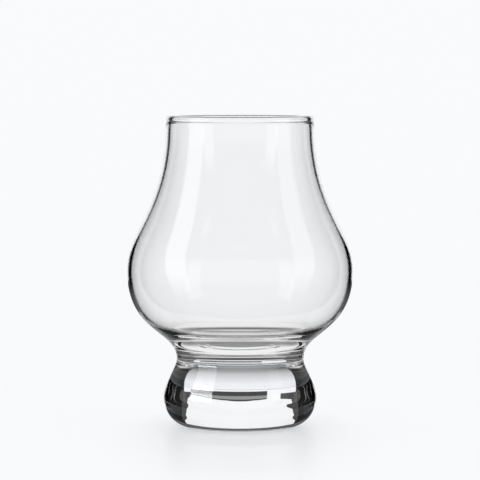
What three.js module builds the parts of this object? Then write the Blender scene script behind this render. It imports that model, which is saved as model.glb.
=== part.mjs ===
// A clear whisky tumbler: a tulip shaped, thin walled bowl fused to a short solid foot.
// Millimetres, +Z up. The origin is on the table, under the middle of the foot.
import * as THREE from "three";

// Heights, stacked from the table upwards
const FOOT_HEIGHT = 24; // table to the waist, where bowl and foot meet
const FOOT_WIDEST = 10; // table to the widest ring of the foot
const BELLY_RISE = 32; // waist to the widest ring of the bowl
const NECK_RISE = 56; // widest ring of the bowl to the top of the lip
const BOWL_FLOOR = 5; // solid glass between the waist and the bottom of the well

// Diameters, outside the glass
const BASE_DIAMETER = 39.2; // flat ring that stands on the table
const FOOT_DIAMETER = 55.4;
const WAIST_DIAMETER = 46.1; // on the shoulders of the seam
const BELLY_DIAMETER = 81.7;
const NECK_DIAMETER = 53.5; // just under the bead of the lip
const PUNT_DIAMETER = 30; // shallow hollow under the foot

// Glass thicknesses
const BELLY_WALL = 1.4;
const NECK_WALL = 1.6;
const PUNT_DEPTH = 0.6;

// The fine groove round the waist, left where bowl and foot were fused
const SEAM_DEPTH = 0.3;
const SEAM_WIDTH = 1.2;

// The fire-polished bead round the lip
const BEAD_DIAMETER = 2.3;
const BEAD_OVERHANG = 0.15; // how far the bead stands out beyond the neck
const BEAD_FILLET = 0.6; // height over which the wall swells into the bead
const BEAD_WRAP = 260; // degrees of the bead's round that stand clear of the wall

// Fullness of each curve: how far its tangents reach, as a share of the way to the other end
const NECK_REACH = 0.56;
const SHOULDER_REACH = 0.28;
const BELLY_REACH = 0.7;
const WAIST_REACH = 0.31;
const WELL_REACH = 0.81;
const WELL_FLOOR_REACH = 0.5;
const FOOT_REACH = 0.34;
const FOOT_WAIST_REACH = 0.165;
const HEEL_REACH = 0.59;
const HEEL_FLARE = 0.43;

// Fineness of the facets
const ROUND_STEPS = 72;
const LONG_CURVE_STEPS = 14;
const SHORT_CURVE_STEPS = 8;
const SEAM_STEPS = 3;

const glass = new THREE.MeshStandardMaterial({
  color: 0xeef3f2,
  roughness: 0.02,
  metalness: 0,
  transparent: true,
  opacity: 0.35,
});

// Points of a cubic curve from one ring to another, each ring given as a radius and a height.
function curve(start, startTangent, endTangent, end, steps) {
  return new THREE.CubicBezierCurve(
    new THREE.Vector2(...start),
    new THREE.Vector2(...startTangent),
    new THREE.Vector2(...endTangent),
    new THREE.Vector2(...end),
  ).getPoints(steps);
}

// Half of the seam: one edge of the waist, rounded over from its shoulder into the groove.
function seam(shoulderHeight) {
  const waist = WAIST_DIAMETER / 2;
  return curve(
    [waist, shoulderHeight],
    [waist, (shoulderHeight + FOOT_HEIGHT) / 2],
    [waist - SEAM_DEPTH / 2, FOOT_HEIGHT],
    [waist - SEAM_DEPTH, FOOT_HEIGHT],
    SEAM_STEPS,
  );
}

// One solid of revolution about +Z from an outline that runs from the axis to the axis.
// Each curve starts where the one before it ends, so that shared point is kept once.
function turned(name, outline) {
  const points = outline.filter((point, i) => i === 0 || !point.equals(outline[i - 1]));
  const geometry = new THREE.LatheGeometry(points, ROUND_STEPS);
  geometry.rotateX(Math.PI / 2);
  const mesh = new THREE.Mesh(geometry, glass);
  mesh.name = name;
  return mesh;
}

// The foot, drawn from the middle of its underside, out round the heel and up to the waist.
function foot() {
  const base = BASE_DIAMETER / 2;
  const widest = FOOT_DIAMETER / 2;
  const waist = WAIST_DIAMETER / 2;
  const shoulder = FOOT_HEIGHT - SEAM_WIDTH / 2;
  const flank = shoulder - FOOT_WIDEST;
  return turned("foot", [
    new THREE.Vector2(0, PUNT_DEPTH),
    new THREE.Vector2(PUNT_DIAMETER / 2 - PUNT_DEPTH, PUNT_DEPTH),
    new THREE.Vector2(PUNT_DIAMETER / 2, 0),
    ...curve(
      [base, 0],
      [base + HEEL_FLARE * (widest - base), 0],
      [widest, FOOT_WIDEST * (1 - HEEL_REACH)],
      [widest, FOOT_WIDEST],
      SHORT_CURVE_STEPS,
    ),
    ...curve(
      [widest, FOOT_WIDEST],
      [widest, FOOT_WIDEST + FOOT_REACH * flank],
      [waist, shoulder - FOOT_WAIST_REACH * flank],
      [waist, shoulder],
      SHORT_CURVE_STEPS,
    ),
    ...seam(shoulder),
    new THREE.Vector2(0, FOOT_HEIGHT),
  ]);
}

// The bead of the lip, from the outside of the wall over the top to the inside.
function bead(lipHeight) {
  const radius = BEAD_DIAMETER / 2;
  const middle = NECK_DIAMETER / 2 + BEAD_OVERHANG - radius;
  const halfWrap = THREE.MathUtils.degToRad(BEAD_WRAP / 2);
  return new THREE.EllipseCurve(
    middle,
    lipHeight - radius,
    radius,
    radius,
    Math.PI / 2 - halfWrap,
    Math.PI / 2 + halfWrap,
  ).getPoints(SHORT_CURVE_STEPS);
}

// The bowl, drawn from the waist up its outside, over the lip and down into the well.
function bowl() {
  const waist = WAIST_DIAMETER / 2;
  const belly = BELLY_DIAMETER / 2;
  const neck = NECK_DIAMETER / 2;
  const inside = belly - BELLY_WALL;
  const mouth = neck - NECK_WALL;
  const flareHeight = FOOT_HEIGHT + SEAM_WIDTH / 2;
  const bellyHeight = FOOT_HEIGHT + BELLY_RISE;
  const flare = bellyHeight - flareHeight;
  const lipHeight = bellyHeight + NECK_RISE;
  const neckHeight = lipHeight - BEAD_DIAMETER - BEAD_FILLET;
  const shoulder = neckHeight - bellyHeight;
  const wellHeight = FOOT_HEIGHT + BOWL_FLOOR;
  const wellDepth = bellyHeight - wellHeight;
  return turned("bowl", [
    new THREE.Vector2(0, FOOT_HEIGHT),
    ...seam(flareHeight).reverse(),
    ...curve(
      [waist, flareHeight],
      [waist, flareHeight + WAIST_REACH * flare],
      [belly, bellyHeight - BELLY_REACH * flare],
      [belly, bellyHeight],
      LONG_CURVE_STEPS,
    ),
    ...curve(
      [belly, bellyHeight],
      [belly, bellyHeight + SHOULDER_REACH * shoulder],
      [neck, neckHeight - NECK_REACH * shoulder],
      [neck, neckHeight],
      LONG_CURVE_STEPS,
    ),
    ...bead(lipHeight),
    ...curve(
      [mouth, neckHeight],
      [mouth, neckHeight - NECK_REACH * shoulder],
      [inside, bellyHeight + SHOULDER_REACH * shoulder],
      [inside, bellyHeight],
      LONG_CURVE_STEPS,
    ),
    ...curve(
      [inside, bellyHeight],
      [inside, bellyHeight - WELL_REACH * wellDepth],
      [WELL_FLOOR_REACH * inside, wellHeight],
      [0, wellHeight],
      LONG_CURVE_STEPS,
    ),
  ]);
}

const tumbler = new THREE.Group();
tumbler.name = "tumbler";
tumbler.add(foot(), bowl());

export default tumbler;
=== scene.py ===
# %% [markdown]
# # A whisky tumbler in clear glass
#
# The real tumbler is two gathers of glass: a bowl that is blown thin and a foot that is pressed solid. They
# are fused while hot, and a hairline groove round the waist is all that is left of the join. This lesson
# turns both pieces from an outline, gives them glass that bends light as the real glass does, and stands
# them in a small studio.
#
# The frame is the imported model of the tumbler, in metres, with +Z up and the table at zero. The pieces made
# here take its sizes, so they fit it without being moved.

# %% Load the frame
import math

import bpy
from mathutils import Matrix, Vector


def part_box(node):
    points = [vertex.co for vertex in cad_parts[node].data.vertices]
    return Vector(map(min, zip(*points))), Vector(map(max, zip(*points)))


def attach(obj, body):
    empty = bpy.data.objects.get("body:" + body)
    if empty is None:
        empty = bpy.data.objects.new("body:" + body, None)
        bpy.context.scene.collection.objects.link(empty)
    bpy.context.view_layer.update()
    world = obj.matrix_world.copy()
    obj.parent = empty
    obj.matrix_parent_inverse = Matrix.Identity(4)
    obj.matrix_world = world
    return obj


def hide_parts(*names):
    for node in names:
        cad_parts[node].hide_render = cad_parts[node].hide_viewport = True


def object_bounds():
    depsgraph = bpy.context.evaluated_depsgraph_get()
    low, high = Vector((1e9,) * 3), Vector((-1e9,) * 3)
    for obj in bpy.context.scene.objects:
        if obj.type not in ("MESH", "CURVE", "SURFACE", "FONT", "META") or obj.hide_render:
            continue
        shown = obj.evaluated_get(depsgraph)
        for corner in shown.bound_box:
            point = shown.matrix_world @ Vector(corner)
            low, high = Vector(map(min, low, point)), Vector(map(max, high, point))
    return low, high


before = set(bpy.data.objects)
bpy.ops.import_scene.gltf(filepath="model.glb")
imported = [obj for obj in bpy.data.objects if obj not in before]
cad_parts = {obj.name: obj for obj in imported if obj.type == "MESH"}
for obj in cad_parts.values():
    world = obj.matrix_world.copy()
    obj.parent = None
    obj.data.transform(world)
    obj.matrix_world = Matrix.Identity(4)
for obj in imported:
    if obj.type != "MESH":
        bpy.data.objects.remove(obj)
cad_low, cad_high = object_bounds()
print("frame nodes:", sorted(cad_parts))

# %% [markdown]
# ## Sizes
#
# The frame gives the sizes that the two solids share with the outside world: the widest rings, the height of
# the waist and the height of the lip. The sizes between those rings are set here, in millimetres, as a glass
# blower's drawing would give them. A ring is a point of the outline: how far out it lies, and how high.

# %% Rings of the foot and the bowl
MM = 0.001  # one millimetre in the frame's metres


def ring(out, up):
    """A point of the outline, given in millimetres, as radius and height in metres."""
    return (out * MM, up * MM, 0.0)


foot_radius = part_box("foot")[1].x / MM
waist_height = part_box("foot")[1].z / MM
belly_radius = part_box("bowl")[1].x / MM
lip_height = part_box("bowl")[1].z / MM

BASE_RADIUS = 19.6
HOLLOW_RADIUS = 15.0
HOLLOW_DEPTH = 0.6
HOLLOW_SLOPE = 1.8  # over which the hollow comes down to the ring that stands on the table
FOOT_WIDEST = 10.0
WAIST_RADIUS = 23.05
SEAM_DEPTH = 0.3
SEAM_WIDTH = 1.2
BOWL_FLOOR = 5.0
BELLY_RISE = 32.0
BELLY_WALL = 1.4
NECK_RADIUS = 26.75
NECK_WALL = 1.6
BEAD_RADIUS = 1.15
BEAD_OVERHANG = 0.15
BEAD_FILLET = 0.6

belly_height = waist_height + BELLY_RISE
neck_height = lip_height - 2 * BEAD_RADIUS - BEAD_FILLET
print("foot", foot_radius, "waist", waist_height, "belly", belly_radius, "lip", lip_height, "mm")

# %% [markdown]
# ## One function that adds a node
#
# Geometry, materials and the world are all node trees. Each line of a tree is then one call: the kind of
# node, what goes into its inputs, and its settings. An input takes a plain value, another node, or one of a
# node's outputs. A second function turns the hex value of a colour to the linear values of a shader.


# %% Add a node with its settings and links
def add(tree, kind, inputs=None, **settings):
    """Adds a node to a tree, sets its properties, and sets or links its inputs."""
    node = tree.nodes.new(kind)
    for name, value in settings.items():
        setattr(node, name, value)
    for key, value in (inputs or {}).items():
        for source in value if isinstance(value, list) else [value]:
            if isinstance(source, bpy.types.Node):
                source = source.outputs[0]
            if isinstance(source, bpy.types.NodeSocket):
                tree.links.new(source, node.inputs[key])
            else:
                node.inputs[key].default_value = source
    return node


def linear(hex_colour):
    """An sRGB hex colour as the linear colour that shaders work with."""
    channels = [int(hex_colour[i : i + 2], 16) / 255 for i in (1, 3, 5)]
    return (*[c / 12.92 if c <= 0.04045 else ((c + 0.055) / 1.055) ** 2.4 for c in channels], 1.0)


PALE = linear("#F9FAFC")  # the white of the table, the cards and the backdrop
print("pale board in linear light:", [round(c, 3) for c in PALE])

# %% [markdown]
# ## Glass
#
# The tumbler is soda-lime glass, the common glass of drinkware. Both pieces were fire-polished, so their
# skin is as smooth as a liquid's. What the eye sees is not the glass but the room, bent by it: white where a
# path through the glass ends on a white card, black where it ends in the dark.
#
# Smooth is not the same as perfect. The mould leaves shallow rings round the heel of the pressed foot, a few
# thousandths of a millimetre high, which make the edge of the light in the foot scallop. Blowing draws faint
# waves up the wall of the bowl. Both are too shallow to model, so a Bump node tilts the skin by them.
#
# Where the two gathers were fused, no surface is left inside the glass. The flat faces that meet there get a
# material of their own, which lets light pass straight on.

# %% Clear glass, blown or pressed
RING_PITCH = 2.9  # millimetres from one mould ring to the next
RING_SWELL = -0.005  # millimetres of height; the lowest ring is a hollow
RING_FADE = (5.5, 8.0)  # heights between which the rings fade out, in millimetres
WAVE_LENGTH = 12.0  # millimetres from one wave of the blown wall to the next
WAVE_SWELL = 0.004  # millimetres of height
WAVE_STRETCH = (1.0, 1.0, 0.25)  # the waves are drawn out upwards


def mould_rings(tree, place):
    """Height of the mould rings, in millimetres: a sine that fades out above the heel."""
    up = add(tree, "ShaderNodeSeparateXYZ", {0: place}).outputs["Z"]
    turn = add(tree, "ShaderNodeMath", {0: up, 1: 2 * math.pi / (RING_PITCH * MM)}, operation="MULTIPLY")
    wave = add(tree, "ShaderNodeMath", {0: turn}, operation="SINE")
    low, high = RING_FADE
    swell = add(tree, "ShaderNodeMapRange", {0: up, 1: low * MM, 2: high * MM, 3: RING_SWELL, 4: 0.0})
    return add(tree, "ShaderNodeMath", {0: wave, 1: swell}, operation="MULTIPLY")


def blown_waves(tree, place):
    """Height of the waves in the blown wall, in millimetres: a noise that is drawn out upwards."""
    drawn = add(tree, "ShaderNodeVectorMath", {0: place, 1: WAVE_STRETCH}, operation="MULTIPLY")
    grain = {"Vector": drawn, "Scale": 1 / (WAVE_LENGTH * MM), "Detail": 1.0}
    noise = add(tree, "ShaderNodeTexNoise", grain)
    return add(tree, "ShaderNodeMath", {0: noise, 1: WAVE_SWELL}, operation="MULTIPLY")


def clear_glass(name, skin):
    """Soda-lime glass with a fire-polished skin of the given height."""
    material = bpy.data.materials.new(name)
    material.use_nodes = True
    tree = material.node_tree
    shader = tree.nodes["Principled BSDF"]
    shader.inputs["Base Color"].default_value = linear("#FEFEFE")
    shader.inputs["Roughness"].default_value = 0.0
    shader.inputs["IOR"].default_value = 1.5
    shader.inputs["Transmission Weight"].default_value = 1.0
    place = add(tree, "ShaderNodeTexCoord").outputs["Object"]
    tilt = add(tree, "ShaderNodeBump", {"Height": skin(tree, place), "Distance": MM})
    tree.links.new(tilt.outputs[0], shader.inputs["Normal"])
    return material


def fused_joint():
    """The place inside the glass where two gathers became one, where light passes straight on."""
    material = bpy.data.materials.new("fused_glass_joint")
    material.use_nodes = True
    shader = material.node_tree.nodes["Principled BSDF"]
    shader.inputs["Alpha"].default_value = 0.0
    return material


blown_glass = clear_glass("blown_soda_lime_glass", blown_waves)
pressed_glass = clear_glass("pressed_soda_lime_glass", mould_rings)
joint = fused_joint()
print("materials:", [m.name for m in (blown_glass, pressed_glass, joint)])

# %% [markdown]
# ## Turning an outline
#
# Both pieces are round, so their shape follows one rule: an outline turned about the axis. A Screw modifier
# would turn a drawn outline too. Geometry Nodes draw the outline as well, so its sizes are inputs that can
# be changed, and the sweep, the welded poles and the materials are in the same tree.
#
# The tree draws each stretch of the outline in the XY plane, with X as radius and Y as height, sweeps all of
# them round a tiny circle, and welds the stretches and the poles. A sweep lays Y downwards, so the body is
# turned over.

# %% The tree that turns an outline
SPINDLE_RADIUS = 0.01 * MM
WELD = 0.003 * MM
CRISP_ANGLE = math.radians(40)
SOCKET_TYPES = {tuple: "NodeSocketVector", int: "NodeSocketInt", bpy.types.Material: "NodeSocketMaterial"}


def turning_tree(name, outline, sizes):
    """A tree with the given named sizes that draws an outline, stretch by stretch, and turns it."""
    tree = bpy.data.node_groups.new(name, "GeometryNodeTree")
    tree.is_modifier = True
    for label, size in sizes.items():
        tree.interface.new_socket(label, in_out="INPUT", socket_type=SOCKET_TYPES[type(size)])
    tree.interface.new_socket("Glass body", in_out="OUTPUT", socket_type="NodeSocketGeometry")
    given = add(tree, "NodeGroupInput").outputs
    stretches = []
    for start, way, end, steps in outline:
        ends = {"Start": given[start], "End": given[end]}
        if way == "straight":
            stretch = add(tree, "GeometryNodeCurvePrimitiveLine", ends)
        elif way == "round":
            over = {"Middle": given[f"{start} over"], "Resolution": steps}
            stretch = add(tree, "GeometryNodeCurveArc", ends | over, mode="POINTS")
        else:
            pulls = {"Start Handle": given[f"{start} leaving"], "End Handle": given[f"{end} arriving"]}
            pulls["Resolution"] = steps
            stretch = add(tree, "GeometryNodeCurvePrimitiveBezierSegment", ends | pulls, mode="OFFSET")
        stretches.append(stretch)
    drawn = add(tree, "GeometryNodeJoinGeometry", {"Geometry": stretches})
    inwards = {"Geometry": drawn, "Translation": (-SPINDLE_RADIUS, 0, 0)}
    drawn = add(tree, "GeometryNodeTransform", inwards)
    spindle = {"Resolution": given["Steps round"], "Radius": SPINDLE_RADIUS}
    circle = add(tree, "GeometryNodeCurvePrimitiveCircle", spindle)
    swept = add(tree, "GeometryNodeCurveToMesh", {"Curve": circle, "Profile Curve": drawn})
    turned_over = add(tree, "GeometryNodeTransform", {"Geometry": swept, "Rotation": (math.pi, 0, 0)})
    welded = add(tree, "GeometryNodeMergeByDistance", {"Geometry": turned_over, "Distance": WELD})
    smooth = add(tree, "GeometryNodeSetShadeSmooth", {"Geometry": welded})
    bend = add(tree, "GeometryNodeInputMeshEdgeAngle")
    crisp = add(tree, "FunctionNodeCompare", {0: bend, 1: CRISP_ANGLE}, operation="GREATER_THAN")
    creased = {"Geometry": smooth, "Selection": crisp, "Shade Smooth": False}
    creased = add(tree, "GeometryNodeSetShadeSmooth", creased, domain="EDGE")
    whole = add(tree, "GeometryNodeRealizeInstances", {"Geometry": creased})
    glass = add(tree, "GeometryNodeSetMaterial", {"Geometry": whole, "Material": given["Glass"]})
    height = add(tree, "ShaderNodeSeparateXYZ", {0: add(tree, "GeometryNodeInputPosition")}).outputs["Z"]
    waist = add(tree, "ShaderNodeSeparateXYZ", {0: given["Waist"]}).outputs["Y"]
    level = add(tree, "FunctionNodeCompare", {0: height, 1: waist, "Epsilon": WELD}, operation="EQUAL")
    fused = {"Geometry": glass, "Selection": level, "Material": given["Joint"]}
    fused = add(tree, "GeometryNodeSetMaterial", fused)
    add(tree, "NodeGroupOutput", {0: fused})
    return tree


def turn(name, outline, sizes):
    """Makes a piece by a turning tree and keeps the result as a plain mesh."""
    tree = turning_tree(f"turned_{name}", outline, sizes)
    piece = bpy.data.objects.new(name, bpy.data.meshes.new(f"{name}_blank"))
    bpy.context.scene.collection.objects.link(piece)
    modifier = piece.modifiers.new("turning", "NODES")
    modifier.node_group = tree
    for item in tree.interface.items_tree:
        if item.in_out == "INPUT":
            modifier[item.identifier] = sizes[item.name]
    turned = piece.evaluated_get(bpy.context.evaluated_depsgraph_get())
    mesh = bpy.data.meshes.new_from_object(turned)
    piece.modifiers.remove(modifier)
    piece.data = mesh
    mesh.name = name
    triangles = sum(len(face.vertices) - 2 for face in mesh.polygons)
    print(name, "has", len(mesh.vertices), "vertices and", triangles, "triangles")
    return piece


print("spindle of", SPINDLE_RADIUS / MM, "mm, weld of", WELD / MM, "mm")

# %% [markdown]
# ## The foot
#
# The foot is a solid lump of pressed glass, widest a little above the table. It stands on a flat ring round
# a shallow hollow, which keeps it from rocking. Its outline runs from the middle of the hollow out to the
# heel, up to the waist and over into the groove of the seam. A pull is the handle of a curve: the longer it
# is, the fuller the curve leaves its ring. Each pull is a share of the way to the ring at the other end.

# %% Turn the foot
STEPS_ROUND = 384
HEEL_FLARE = 0.43
HEEL_REACH = 0.59
FLANK_REACH = 0.34
FLANK_WAIST_REACH = 0.165

under_seam = waist_height - SEAM_WIDTH / 2
flank = under_seam - FOOT_WIDEST
# Each stretch of the outline: where it starts, how it runs, where it ends, and its steps
FOOT_OUTLINE = [
    ("Hollow centre", "straight", "Hollow edge", 1),
    ("Hollow edge", "curved", "Resting edge", 8),
    ("Resting edge", "straight", "Base", 1),
    ("Base", "curved", "Widest", 30),
    ("Widest", "curved", "Under seam", 30),
    ("Under seam", "curved", "Waist", 6),
    ("Waist", "straight", "Joint centre", 1),
]
FOOT_SIZES = {
    "Hollow centre": ring(0, HOLLOW_DEPTH),
    "Hollow edge": ring(HOLLOW_RADIUS - HOLLOW_SLOPE, HOLLOW_DEPTH),
    "Hollow edge leaving": ring(HOLLOW_DEPTH, 0),
    "Resting edge arriving": ring(-HOLLOW_DEPTH, 0),
    "Resting edge": ring(HOLLOW_RADIUS, 0),
    "Base": ring(BASE_RADIUS, 0),
    "Base leaving": ring(HEEL_FLARE * (foot_radius - BASE_RADIUS), 0),
    "Widest arriving": ring(0, -HEEL_REACH * FOOT_WIDEST),
    "Widest": ring(foot_radius, FOOT_WIDEST),
    "Widest leaving": ring(0, FLANK_REACH * flank),
    "Under seam arriving": ring(0, -FLANK_WAIST_REACH * flank),
    "Under seam": ring(WAIST_RADIUS, under_seam),
    "Under seam leaving": ring(0, SEAM_WIDTH / 4),
    "Waist arriving": ring(SEAM_DEPTH / 2, 0),
    "Waist": ring(WAIST_RADIUS - SEAM_DEPTH, waist_height),
    "Joint centre": ring(0, waist_height),
    "Steps round": STEPS_ROUND,
    "Glass": pressed_glass,
    "Joint": joint,
}
foot = turn("pressed_foot", FOOT_OUTLINE, FOOT_SIZES)

# %% [markdown]
# ## The bowl
#
# The bowl is blown, so its wall is thin and even from the belly to the lip and thickens into a heavy floor.
# The cut edge of the lip was melted by a flame until it drew itself up into a round bead. Inside and outside
# are drawn with the same pulls, so the wall keeps its thickness round the shoulder.

# %% Turn the bowl
BEAD_CLEAR = math.radians(130)  # how far the bead's round goes down on each side from its top
FLARE_REACH = 0.31
BELLY_REACH = 0.7
SHOULDER_REACH = 0.28
NECK_REACH = 0.56
WELL_REACH = 0.81
WELL_FLOOR_REACH = 0.5

bead_centre = NECK_RADIUS + BEAD_OVERHANG - BEAD_RADIUS
bead_side = BEAD_RADIUS * math.sin(BEAD_CLEAR)
bead_seat = lip_height - BEAD_RADIUS + BEAD_RADIUS * math.cos(BEAD_CLEAR)
bead_lean = BEAD_FILLET * -math.cos(BEAD_CLEAR)
bead_rise = BEAD_FILLET * math.sin(BEAD_CLEAR)
over_seam = waist_height + SEAM_WIDTH / 2
flare = belly_height - over_seam
shoulder = neck_height - belly_height
inside = belly_radius - BELLY_WALL
mouth = NECK_RADIUS - NECK_WALL
well_height = waist_height + BOWL_FLOOR
BOWL_OUTLINE = [
    ("Joint centre", "straight", "Waist", 1),
    ("Waist", "curved", "Over seam", 6),
    ("Over seam", "curved", "Belly", 44),
    ("Belly", "curved", "Neck", 46),
    ("Neck", "curved", "Bead outside", 6),
    ("Bead outside", "round", "Bead inside", 22),
    ("Bead inside", "curved", "Mouth", 6),
    ("Mouth", "curved", "Inner belly", 46),
    ("Inner belly", "curved", "Well centre", 56),
]
BOWL_SIZES = {
    "Joint centre": ring(0, waist_height),
    "Waist": ring(WAIST_RADIUS - SEAM_DEPTH, waist_height),
    "Waist leaving": ring(SEAM_DEPTH / 2, 0),
    "Over seam arriving": ring(0, -SEAM_WIDTH / 4),
    "Over seam": ring(WAIST_RADIUS, over_seam),
    "Over seam leaving": ring(0, FLARE_REACH * flare),
    "Belly arriving": ring(0, -BELLY_REACH * flare),
    "Belly": ring(belly_radius, belly_height),
    "Belly leaving": ring(0, SHOULDER_REACH * shoulder),
    "Neck arriving": ring(0, -NECK_REACH * shoulder),
    "Neck": ring(NECK_RADIUS, neck_height),
    "Neck leaving": ring(0, BEAD_FILLET),
    "Bead outside arriving": ring(-bead_lean, -bead_rise),
    "Bead outside": ring(bead_centre + bead_side, bead_seat),
    "Bead outside over": ring(bead_centre, lip_height),
    "Bead inside": ring(bead_centre - bead_side, bead_seat),
    "Bead inside leaving": ring(bead_lean, -bead_rise),
    "Mouth arriving": ring(0, BEAD_FILLET),
    "Mouth": ring(mouth, neck_height),
    "Mouth leaving": ring(0, -NECK_REACH * shoulder),
    "Inner belly arriving": ring(0, SHOULDER_REACH * shoulder),
    "Inner belly": ring(inside, belly_height),
    "Inner belly leaving": ring(0, -WELL_REACH * (belly_height - well_height)),
    "Well centre arriving": ring(WELL_FLOOR_REACH * inside, 0),
    "Well centre": ring(0, well_height),
    "Steps round": STEPS_ROUND,
    "Glass": blown_glass,
    "Joint": joint,
}
bowl = turn("blown_bowl", BOWL_OUTLINE, BOWL_SIZES)

# %% [markdown]
# ## Fitting the pieces to the frame
#
# Nothing on a tumbler moves, so both pieces ride on the one body of the frame. Each stands for the solid of
# the same shape, which is hidden.

# %% Tie the pieces to the frame
for piece, node, slot in ((foot, "foot", "foot_glass"), (bowl, "bowl", "bowl_glass")):
    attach(piece, "root")
    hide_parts(node)
    print(piece.name, "replaces", node, "and takes", slot)

# %% [markdown]
# ## Sorting the rays of the studio
#
# A photographer of glass hides cards and lamps from the camera and shows them to the glass. Here the Light
# Path node does that: it tells a material how a ray came to it. Each name below is one test of that kind. A
# ray that went in and out of one solid piece, such as the foot, has crossed two faces. A ray through the
# bowl has crossed four.


# %% Tests of a ray, and where several of them hold
# Each test: an output of the Light Path node, how it is compared, and with what
RAY_TESTS = {
    "seen by camera": ("Is Camera Ray", "GREATER_THAN", 0.5),
    "not by camera": ("Is Camera Ray", "LESS_THAN", 0.5),
    "sharp": ("Is Singular Ray", "GREATER_THAN", 0.5),
    "blurred": ("Is Singular Ray", "LESS_THAN", 0.5),
    "reflection": ("Is Reflection Ray", "GREATER_THAN", 0.5),
    "lights a surface": ("Diffuse Depth", "GREATER_THAN", 0.5),
    "lights nothing": ("Diffuse Depth", "LESS_THAN", 0.5),
    "mirrored": ("Glossy Depth", "GREATER_THAN", 0.5),
    "not mirrored": ("Glossy Depth", "LESS_THAN", 0.5),
    "mirrored at most once": ("Glossy Depth", "LESS_THAN", 1.5),
    "outside the glass": ("Transmission Depth", "LESS_THAN", 0.5),
    "through the glass": ("Transmission Depth", "GREATER_THAN", 0.5),
    "through one piece": ("Transmission Depth", "LESS_THAN", 2.5),
    "through the bowl": ("Transmission Depth", "GREATER_THAN", 2.5),
    "two bounces at most": ("Ray Depth", "LESS_THAN", 2.5),
    "two bounces or more": ("Ray Depth", "GREATER_THAN", 1.5),
}


def overlap(tree, parts):
    """One where all the parts are one, and nothing where any of them is nothing."""
    whole = parts[0]
    for part in parts[1:]:
        whole = add(tree, "ShaderNodeMath", {0: whole, 1: part}, operation="MULTIPLY")
    return whole


def rays(tree, *tests):
    """One for the rays that pass every named test."""
    path = add(tree, "ShaderNodeLightPath").outputs
    passed = []
    for output, comparison, limit in [RAY_TESTS[test] for test in tests]:
        passed.append(add(tree, "ShaderNodeMath", {0: path[output], 1: limit}, operation=comparison))
    return overlap(tree, passed)


print(len(RAY_TESTS), "tests of a ray")

# %% [markdown]
# ## Studio faces
#
# The table and the cards are flat faces of the studio and no part of the tumbler, so they are marked as its
# stage. Their tones change from place to place. A Map Range node does that: it turns a stretch of places
# into a stretch of values.


# %% A flat face for the studio
def span(low, high, start=0.0, end=1.0):
    """Inputs of a Map Range node between two lengths in millimetres."""
    return {1: low * MM, 2: high * MM, 3: start, 4: end}


def stage_mesh(name, points, material):
    """A flat face for the studio, which is not part of the tumbler."""
    mesh = bpy.data.meshes.new(name)
    mesh.from_pydata(points, [], [range(len(points))])
    mesh.materials.append(material)
    made = bpy.data.objects.new(name, mesh)
    bpy.context.scene.collection.objects.link(made)
    return made


print("a span from 10 to 20 mm:", span(10, 20))

# %% [markdown]
# ## Table in the glass
#
# The table is a glossy white board. Through the glass it gives off light in painted tones, and seen flat it
# mirrors the cards. Under the foot the tone is painted shade, and just behind the foot a painted pool of
# light stands for the light that the foot gathers as a lens. Further back lies a painted black sheet, which
# only the solid foot looks down on and which darkens it. The bowl looks steeply down on a painted shadow,
# which is the dark line low in it. The painted tones are dim in mirror images, so they leave the bowl clear.

# %% What the glass sees of the table
# Facing is 1 where a surface is seen edge on, and 0 where it is seen from straight above.
FLAT = 0.87
STEEP = 0.36
BENT_STEEP = 0.43
BOARD_SHINE = {1: 0.77, 2: FLAT, 3: 0.0, 4: 0.97}
SHADE_SHEET_SHINE = {1: 0.45, 2: FLAT, 3: 0.1, 4: 0.97}
SHADOW_EDGES = ({1: 0.55, 2: 0.42, 3: 0.0, 4: 1.0}, {1: 0.22, 2: 0.26, 3: 0.0, 4: 1.0})

# Stretches of painted shade and light on the table, in millimetres from the middle of the foot,
# and the values at both ends
BOARD_SHADE = (38, 75, 0.3, 0.9)
FOOT_SHADE = (16, 27, 0.25, 0.85)
LIGHT_PATCH_SIDES = (14, 20, 1.0, 0.0)
LIGHT_PATCH_START = (4, 10)
LIGHT_PATCH_END = (38, 44, 1.0, 0.0)
SHADE_SHEET_START = (20, 30)
SHADOW_START = (0, 12)

# How far out something starts or ends, in millimetres, and how bright a painted tone is
SHADE_SHEET_END = 130
FAR_BOARD = 60
UNDER_FOOT = 45
PAINTED_LIGHT_TONE = 0.95
FAR_SHADE_TONE = 0.03
SHADE_SHEET_TONE = 0.0
SHADOW_TONE = 0.04
DIM = 0.12


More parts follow.
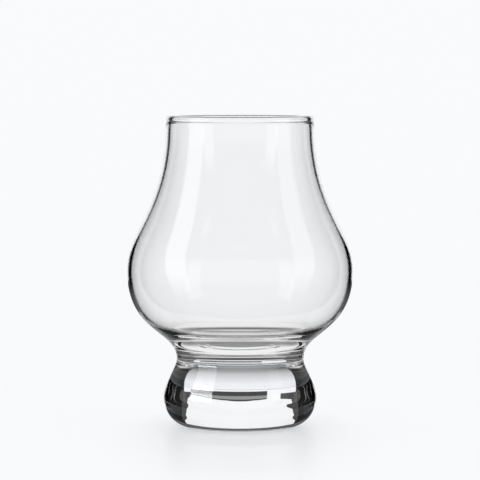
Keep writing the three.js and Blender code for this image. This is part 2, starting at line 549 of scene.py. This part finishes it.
def board_in_glass(tree, place):
    """What the glass sees of the table: painted light and shade that it gives off, and a mirror."""
    far = add(tree, "ShaderNodeVectorMath", {0: place}, operation="LENGTH").outputs["Value"]
    across, behind = add(tree, "ShaderNodeSeparateXYZ", {0: place}).outputs[:2]
    across = add(tree, "ShaderNodeMath", {0: across}, operation="ABSOLUTE")
    flatness = add(tree, "ShaderNodeLayerWeight", {"Blend": 0.5}).outputs["Facing"]
    steep = add(tree, "ShaderNodeMath", {0: flatness, 1: STEEP}, operation="LESS_THAN")
    one_piece = rays(tree, "through one piece")

    # Painted shade: the table's tone is darker near the foot and under it.
    shade = add(tree, "ShaderNodeMapRange", {0: far} | span(*BOARD_SHADE))
    shade_under_foot = add(tree, "ShaderNodeMapRange", {0: far} | span(*FOOT_SHADE))
    tone = add(tree, "ShaderNodeMix", {0: steep, 2: shade, 3: shade_under_foot})

    # A painted pool of light behind the foot, where the foot would gather light as a lens
    middle = add(tree, "ShaderNodeMapRange", {0: across} | span(*LIGHT_PATCH_SIDES))
    start = add(tree, "ShaderNodeMapRange", {0: behind} | span(*LIGHT_PATCH_START))
    end = add(tree, "ShaderNodeMapRange", {0: behind} | span(*LIGHT_PATCH_END))
    painted_light_patch = overlap(tree, [one_piece, middle, start, end])
    tone = add(tree, "ShaderNodeMix", {0: painted_light_patch, 2: tone, 3: PAINTED_LIGHT_TONE})

    # Painted shade on the far board, where the bead of the lip bends steep rays to it
    bent = add(tree, "ShaderNodeMath", {0: flatness, 1: BENT_STEEP}, operation="LESS_THAN")
    beyond = add(tree, "ShaderNodeMath", {0: far, 1: FAR_BOARD * MM}, operation="GREATER_THAN")
    painted_shade_far = overlap(tree, [one_piece, bent, beyond])
    tone = add(tree, "ShaderNodeMix", {0: painted_shade_far, 2: tone, 3: FAR_SHADE_TONE})

    # Painted shade: a black sheet on the table that only rays through one piece see, which darkens the foot
    laid = add(tree, "ShaderNodeMapRange", {0: behind} | span(*SHADE_SHEET_START))
    close = add(tree, "ShaderNodeMath", {0: far, 1: SHADE_SHEET_END * MM}, operation="LESS_THAN")
    low = add(tree, "ShaderNodeMath", {0: flatness, 1: STEEP}, operation="GREATER_THAN")
    no_painted_light = add(tree, "ShaderNodeMath", {0: 1.0, 1: painted_light_patch}, operation="SUBTRACT")
    painted_shade_sheet = overlap(tree, [one_piece, laid, close, low, no_painted_light])
    tone = add(tree, "ShaderNodeMix", {0: painted_shade_sheet, 2: tone, 3: SHADE_SHEET_TONE})

    # A painted shadow that the bowl looks down on
    edges = [add(tree, "ShaderNodeMapRange", {0: flatness} | edge) for edge in SHADOW_EDGES]
    begun = add(tree, "ShaderNodeMapRange", {0: behind} | span(*SHADOW_START))
    shadow = overlap(tree, [*edges, begun, rays(tree, "through the bowl")])
    tone = add(tree, "ShaderNodeMix", {0: shadow, 2: tone, 3: SHADOW_TONE})

    # Painted tone made dim in mirror images, except where the foot mirrors the table right under it
    near = add(tree, "ShaderNodeMath", {0: far, 1: UNDER_FOOT * MM}, operation="LESS_THAN")
    inner = overlap(tree, [one_piece, rays(tree, "through the glass"), near])
    direct = {0: rays(tree, "not mirrored"), 1: inner}
    direct = add(tree, "ShaderNodeMath", direct, operation="MAXIMUM")
    tone = add(tree, "ShaderNodeMix", {0: direct, 2: DIM, 3: tone})

    board_shine = add(tree, "ShaderNodeMapRange", {0: flatness} | BOARD_SHINE)
    shade_sheet_shine = add(tree, "ShaderNodeMapRange", {0: flatness} | SHADE_SHEET_SHINE)
    shine = add(tree, "ShaderNodeMix", {0: painted_shade_sheet, 2: board_shine, 3: shade_sheet_shine})
    # The table gives off the painted tone as light, though it is no lamp.
    painted_glow = add(tree, "ShaderNodeEmission", {"Strength": tone})
    mirror = add(tree, "ShaderNodeBsdfAnisotropic", {"Color": PALE, "Roughness": 0.1})
    return add(tree, "ShaderNodeMixShader", {0: shine, 1: painted_glow, 2: mirror})


# The black sheet is painted shade, seen only through the foot.
print("black sheet from", SHADE_SHEET_START[0], "to", SHADE_SHEET_END, "mm behind the middle")

# %% [markdown]
# ## Table to the camera
#
# To the camera the table is as pale as the backdrop, so no horizon shows. In front of the foot it keeps the
# shadow and the blurred mirror image of the tumbler, in an oval that fades into the pale board.

# %% Glossy white table
FLOOR_RADIUS = 30.0  # metres
FLOOR_GAP = 0.2 * MM
FLOOR_STEPS = 96
OVAL_FRONT = 45  # millimetres from the middle of the foot to the middle of the oval
OVAL_SQUEEZE = (2.2, 1, 1)  # the oval is narrower than it is deep
OVAL_FADE = (55, 110, 0.45, 0.9)


def board_to_camera(tree, place):
    """What the camera sees of the table: a shaded oval in front of the foot, and pale board round it."""
    oval = add(tree, "ShaderNodeVectorMath", {0: place, 1: (0, OVAL_FRONT * MM, 0)}, operation="ADD")
    oval = add(tree, "ShaderNodeVectorMath", {0: oval, 1: OVAL_SQUEEZE}, operation="MULTIPLY")
    oval = add(tree, "ShaderNodeVectorMath", {0: oval}, operation="LENGTH").outputs["Value"]
    clear = add(tree, "ShaderNodeMapRange", {0: oval} | span(*OVAL_FADE))
    clear = overlap(tree, [clear, rays(tree, "seen by camera")])
    pale = add(tree, "ShaderNodeEmission", {"Color": PALE})
    return add(tree, "ShaderNodeMixShader", {0: clear, 1: tree.nodes["Principled BSDF"], 2: pale})


def glossy_board():
    """A board of white gloss laminate, as the camera and the glass see it."""
    material = bpy.data.materials.new("glossy_white_board")
    material.use_nodes = True
    tree = material.node_tree
    board = tree.nodes["Principled BSDF"]
    board.inputs["Base Color"].default_value = PALE
    board.inputs["Roughness"].default_value = 0.35
    board.inputs["Specular IOR Level"].default_value = 0.25
    place = add(tree, "ShaderNodeTexCoord").outputs["Object"]
    shown = {0: rays(tree, "not by camera", "lights nothing")}
    shown |= {1: board_to_camera(tree, place), 2: board_in_glass(tree, place)}
    both = add(tree, "ShaderNodeMixShader", shown)
    tree.links.new(both.outputs[0], tree.nodes["Material Output"].inputs["Surface"])
    return material


turns = [2 * math.pi * i / FLOOR_STEPS for i in range(FLOOR_STEPS)]
rim = [(FLOOR_RADIUS * math.cos(a), FLOOR_RADIUS * math.sin(a), -FLOOR_GAP) for a in turns]
stage_mesh("table", rim, glossy_board())
print("table of", 2 * FLOOR_RADIUS, "m across")

# %% [markdown]
# ## A card
#
# A card is a flat face that gives off an even light, or next to none where it is dark. Some cards are meant
# for the foot alone, and a lamp is meant for the skin that mirrors it. So each card is shown to some rays,
# and all other rays pass through it as if it weren't there.


# %% A card and the rays that it is shown to
def card(name, corners, glow, shown):
    """A flat card from its corners in millimetres, with a brightness and the rays that it is shown to."""
    material = bpy.data.materials.new(name)
    material.use_nodes = True
    tree = material.node_tree
    tree.nodes.clear()
    light = {"Color": PALE, "Strength": glow(tree) if callable(glow) else glow}
    light = add(tree, "ShaderNodeEmission", light)
    clear = add(tree, "ShaderNodeBsdfTransparent")
    seen = add(tree, "ShaderNodeMixShader", {0: shown(tree), 1: clear, 2: light})
    add(tree, "ShaderNodeOutputMaterial", {"Surface": seen})
    material.cycles.emission_sampling = "NONE"
    made = stage_mesh(name, [(x * MM, y * MM, z * MM) for x, y, z in corners], material)
    made.visible_camera = made.visible_diffuse = made.visible_shadow = False
    print(name, "of", len(corners), "corners")


def upright(x0, x1, y, low, high):
    """Corners of a card that stands across the view, in millimetres."""
    return [(x0, y, low), (x1, y, low), (x1, y, high), (x0, y, high)]


def to_everything(tree):
    """The glass, and the table's mirror image of the card."""
    sharp, later = rays(tree, "sharp"), rays(tree, "two bounces or more")
    return add(tree, "ShaderNodeMath", {0: sharp, 1: later}, operation="MAXIMUM")


def to_foot(tree):
    """The rays that one solid piece of glass bends, such as the foot."""
    return rays(tree, "sharp", "through one piece")


def to_skin(tree):
    """The rays that the skin of the glass mirrors."""
    return rays(tree, "sharp", "mirrored")


print("corners of a card of 2 by 1 mm:", upright(0, 2, 0, 0, 1))

# %% [markdown]
# ## Cards behind the glass
#
# A glass is photographed against a white card that is only a little wider than the glass, in a dark room.
# The card fills the glass with white, and the dark on both sides of it draws the outline. The card stands in
# two dark battens with a grey gap between them, between two posts. The solid foot of the tumbler turns all
# of that over and shows the battens as the two lines across its middle, and the posts as the ends of its
# light. A low dark apron closer to the glass gives the dark line in the waist.

# %% White card, battens, posts and apron
CARD_PLACE = 150  # millimetres behind the middle of the foot
CARD_HALF = [(84, 0), (84, 60), (100, 90), (100, 330)]  # half of its outline: how far out, and how high
CARD_GLOW = 1.03
BATTEN_PLACE = 149
BATTEN_LEFT, BATTEN_RIGHT = -27, 62
# Each batten: its name, its lower and upper edge in millimetres, and its brightness
BATTENS = (
    ("low_batten", 3, 11.8, 0.03),
    ("batten_gap", 11.8, 16.4, 0.3),
    ("high_batten", 16.4, 17.45, 0.03),
)
# The posts are named for the side of the foot that shows them. It turns left and right over.
POSTS = {
    "left_post": [(62, 11), (90, 17), (90, 38), (78, 30), (72, 25), (62, 20)],
    "right_post": [(-46, 11), (-90, 17), (-90, 38), (-78, 30), (-70, 25), (-46, 20)],
}
POST_TONE = 0.06
APRON = {"x0": -60, "x1": 60, "y": 60, "low": 26, "high": 46}
APRON_TONE = 0.1

card_outline = [(-x, z) for x, z in CARD_HALF] + CARD_HALF[::-1]
card("back_card", [(x, CARD_PLACE, z) for x, z in card_outline], CARD_GLOW, to_everything)
for name, low, high, tone in BATTENS:
    card(name, upright(BATTEN_LEFT, BATTEN_RIGHT, BATTEN_PLACE, low, high), tone, to_foot)
for name, corners in POSTS.items():
    card(name, [(x, BATTEN_PLACE, z) for x, z in corners], POST_TONE, to_foot)
card("apron", upright(**APRON), APRON_TONE, to_foot)

# %% [markdown]
# ## Lamps
#
# Lamps at the sides leave upright strips of light on the bowl. They are soft boxes: their light comes up
# gradually from the table, so the strips have no hard lower end. A strip on the far wall of the bowl is seen
# through glass and is weaker than one on the near wall.
#
# A low lamp on the left leaves a strip on the foot. It lies flat and shines down, so the bowl above it
# doesn't see it.

# %% Lamps beside the glass
LAMP_SIDE = 110
LAMP_OUTLINE = [(-116, 0), (-68, 0), (8, 200), (-57, 200)]  # how far behind the middle, and how high
LAMP_FADE = 60
LEFT_GLOW = 2.1
RIGHT_GLOW = 1.2
INNER_GLOW = 1.2
TRAY_OUTLINE = [(-13, -26.5), (-110, -131), (-130, -36), (-24, -19)]
TRAY_HEIGHT = 26
TRAY_GLOW = (3.0, 12.0)  # next to the foot, and further out
TRAY_STEP = (45, 52)  # millimetres from the middle of the table


def lamp(side):
    """Corners of a lamp beside the glass, which leans back towards its top."""
    return [(side, y, z) for y, z in LAMP_OUTLINE]


def soft_box(outer_glow):
    """The brightness of a lamp, which grows from the table up."""

    def glow(tree):
        place = add(tree, "ShaderNodeTexCoord").outputs["Object"]
        up = add(tree, "ShaderNodeSeparateXYZ", {0: place}).outputs["Z"]
        fade = add(tree, "ShaderNodeMapRange", {0: up} | span(0, LAMP_FADE))
        inner = rays(tree, "through the glass")
        full = add(tree, "ShaderNodeMix", {0: inner, 2: outer_glow, 3: INNER_GLOW})
        return overlap(tree, [fade, full])

    return glow


def tray_light(tree):
    """The brightness of the low lamp, which is dimmer next to the foot."""
    place = add(tree, "ShaderNodeTexCoord").outputs["Object"]
    away = add(tree, "ShaderNodeVectorMath", {0: place}, operation="LENGTH").outputs["Value"]
    return add(tree, "ShaderNodeMapRange", {0: away} | span(*TRAY_STEP, *TRAY_GLOW))


def to_skin_from_below(tree):
    """The rays that the outer skin mirrors up to the front of a card, which lies face down."""
    back = add(tree, "ShaderNodeNewGeometry").outputs["Backfacing"]
    front = add(tree, "ShaderNodeMath", {0: 1.0, 1: back}, operation="SUBTRACT")
    return overlap(tree, [to_skin(tree), rays(tree, "outside the glass"), front])


card("foot_lamp", [(x, y, TRAY_HEIGHT) for x, y in TRAY_OUTLINE], tray_light, to_skin_from_below)
card("left_lamp", lamp(-LAMP_SIDE), soft_box(LEFT_GLOW), to_skin)
card("right_lamp", lamp(LAMP_SIDE), soft_box(RIGHT_GLOW), to_skin)

# %% [markdown]
# ## Room
#
# The world behind the cards is a pale backdrop to the camera and an even white light to the table. Glass
# sees a dark room instead. It has a little light in front, where the camera and the window behind it are,
# and pale walls low down at the sides and in front, which keep the glass clear when it is looked at from
# another side. The table mirrors the walls too, for whoever looks through the bowl at a low angle.

# %% Pale backdrop, dark room
WHITE = (1.0, 1.0, 1.0, 1.0)
BLACK = (0.0, 0.0, 0.0, 1.0)
# Brightness of the window by direction, which is 1 straight behind the glass and -1 in front of it
WINDOW = {1: 0.8, 2: -0.5, 3: 0.0, 4: 0.55}
# Where the tone of the walls changes, as a share of the half turn from behind the glass to its front
WALLS = ((0.40, WHITE), (0.60, BLACK), (0.80, WHITE))
WALL_TOP = {1: 0.10, 2: 0.13, 3: 1.0, 4: 0.0}


def room():
    """A world that is pale to the camera, white to the table and a dark room to the glass."""
    world = bpy.data.worlds.new("studio_room")
    world.use_nodes = True
    world.cycles.sampling_method = "NONE"
    tree = world.node_tree
    tree.nodes.clear()
    towards = add(tree, "ShaderNodeTexCoord").outputs["Generated"]
    x, y, z = add(tree, "ShaderNodeSeparateXYZ", {0: towards}).outputs
    window = add(tree, "ShaderNodeMapRange", {0: y} | WINDOW)
    window = overlap(tree, [window, rays(tree, "mirrored")])

    turned = add(tree, "ShaderNodeMath", {0: x, 1: y}, operation="ARCTAN2")
    turned = add(tree, "ShaderNodeMath", {0: turned}, operation="ABSOLUTE")
    turned = add(tree, "ShaderNodeMapRange", {0: turned, 2: math.pi})
    walls = add(tree, "ShaderNodeValToRGB", {0: turned})
    walls.color_ramp.interpolation = "CONSTANT"
    walls.color_ramp.elements[0].color = BLACK
    for share, tone in WALLS:
        walls.color_ramp.elements.new(share).color = tone
    low = add(tree, "ShaderNodeMapRange", {0: z} | WALL_TOP)
    straight = overlap(tree, [low, rays(tree, "through the glass", "not mirrored")])
    in_table = rays(tree, "through the bowl", "blurred", "mirrored", "mirrored at most once")
    shown = add(tree, "ShaderNodeMath", {0: straight, 1: in_table}, operation="MAXIMUM")
    walls = overlap(tree, [walls, shown])

    strength = add(tree, "ShaderNodeMath", {0: window, 1: walls}, operation="MAXIMUM")
    dark = add(tree, "ShaderNodeBackground", {"Color": WHITE, "Strength": strength})
    pale = add(tree, "ShaderNodeBackground", {"Color": PALE})
    white = add(tree, "ShaderNodeBackground", {"Color": WHITE})
    sheen = rays(tree, "two bounces at most", "blurred", "reflection")
    plain = {0: sheen, 1: rays(tree, "seen by camera")}
    plain = add(tree, "ShaderNodeMath", plain, operation="MAXIMUM")
    backdrop = add(tree, "ShaderNodeMixShader", {0: plain, 1: dark, 2: pale})
    both = add(tree, "ShaderNodeMixShader", {0: rays(tree, "lights a surface"), 1: backdrop, 2: white})
    add(tree, "ShaderNodeOutputWorld", {"Surface": both})
    return world


bpy.context.scene.world = room()
bpy.context.scene.view_settings.view_transform = "Standard"
print("room:", bpy.context.scene.world.name)

# %% [markdown]
# ## Camera
#
# The photograph was taken from about a metre away with a long lens: the rim is seen almost edge on, and the
# base from a little above. Those two angles, with the height of the tumbler, fix where the camera stands.

# %% Camera at the photograph's angle
IMAGE_SIZE = 480  # pixels, each way
RIM_ANGLE = math.radians(0.7)  # how far below the camera's level the rim and the base are seen
BASE_ANGLE = math.radians(7.3)
BASE_ROW = 424.47  # pixel row of the middle of the base
PITCH = math.radians(3.357)
SENSOR = 36.0

distance = cad_high.z / (math.tan(BASE_ANGLE) - math.tan(RIM_ANGLE))
focal_pixels = (BASE_ROW - IMAGE_SIZE / 2) / math.tan(BASE_ANGLE - PITCH)
lens = bpy.data.cameras.new("long_lens")
lens.sensor_width = SENSOR
lens.lens = focal_pixels * SENSOR / IMAGE_SIZE
lens.clip_end = 2 * FLOOR_RADIUS
camera = bpy.data.objects.new("camera", lens)
camera.location = (0, -distance, distance * math.tan(BASE_ANGLE))
camera.rotation_euler = (math.pi / 2 - PITCH, 0, 0)
bpy.context.scene.collection.objects.link(camera)
bpy.context.scene.camera = camera
print("camera", round(distance, 3), "m away, lens", round(lens.lens, 1), "mm")
